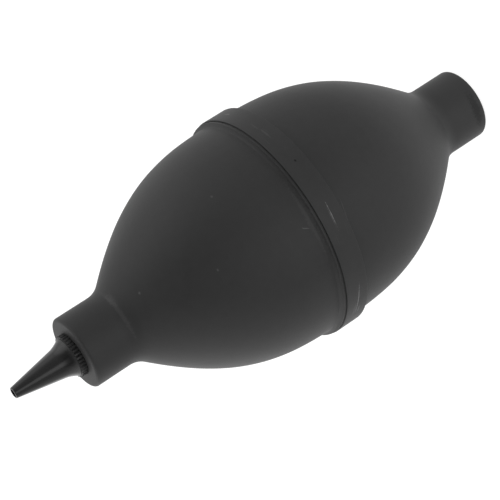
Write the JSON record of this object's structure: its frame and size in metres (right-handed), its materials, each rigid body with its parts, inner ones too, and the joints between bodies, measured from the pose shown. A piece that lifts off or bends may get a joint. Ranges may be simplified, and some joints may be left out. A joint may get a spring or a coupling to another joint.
{
  "type": "dust blower bulb",
  "caption": "Hand-squeezed rubber dust blower bulb with a raised middle band, a screw-in tapered nozzle at one neck and a one-way air inlet in the other.",
  "frame": {"origin": "centre of the rear neck's end face, on the bulb's axis", "axes": "+Z along the bulb's axis, from the rear neck towards the nozzle; X and Y are equal across the round bulb"},
  "size_m": [0.0574, 0.0574, 0.1321],
  "materials": {
    "bulb_rubber": "matte, finely frosted dark grey",
    "band_rubber": "matte dark grey with light scuffs",
    "nozzle_plastic": "glossy black",
    "insert_plastic": "satin black",
    "seal_rubber": "smooth black",
    "grille_plastic": "satin black",
    "filter_felt": "pressed off-white felt",
    "screen_steel": "brushed",
    "ball_steel": "polished",
    "spring_steel": "drawn wire",
    "retainer_brass": "stamped"
  },
  "bodies": {
    "rear_end": {"rear_bulb_half": "bulb_rubber", "seam_band": "band_rubber", "intake_valve_housing": "insert_plastic", "intake_cap": "grille_plastic", "dust_filter": "filter_felt", "filter_screen": "screen_steel", "valve_seat": "seal_rubber", "valve_spring": "spring_steel", "spring_retainer": "retainer_brass"},
    "front_end": {"front_bulb_half": "bulb_rubber", "nozzle_bushing": "insert_plastic"},
    "seal_carrier": {"nozzle_seal_ring": "seal_rubber"},
    "nozzle": {"nozzle": "nozzle_plastic"},
    "inlet_ball": {"valve_ball": "ball_steel"}
  },
  "joints": [
    {"name": "bulb_squeeze", "type": "slide", "parent": "rear_end", "child": "front_end", "axis": [0, 0, 1], "range_m": [-0.018, 0], "stiffness_N_per_m": 300, "deforming": ["front_bulb_half", "rear_bulb_half", "seam_band"]},
    {"name": "nozzle_travel", "type": "slide", "parent": "front_end", "child": "seal_carrier", "axis": [0, 0, 1], "range_m": [0, 0.006]},
    {"name": "nozzle_turn", "type": "hinge", "parent": "seal_carrier", "child": "nozzle", "pos_m": [0, 0, 0.1158], "axis": [0, 0, 1], "range_deg": [0, 1440]},
    {"name": "inlet_ball_lift", "type": "slide", "parent": "rear_end", "child": "inlet_ball", "axis": [0, 0, 1], "range_m": [0, 0.0014], "stiffness_N_per_m": 20, "springref_m": -0.001, "deforming": ["valve_spring"]}
  ],
  "couplings": [
    {"joint": "nozzle_turn", "follows": "nozzle_travel", "rad_per_m": 4188.8}
  ]
}
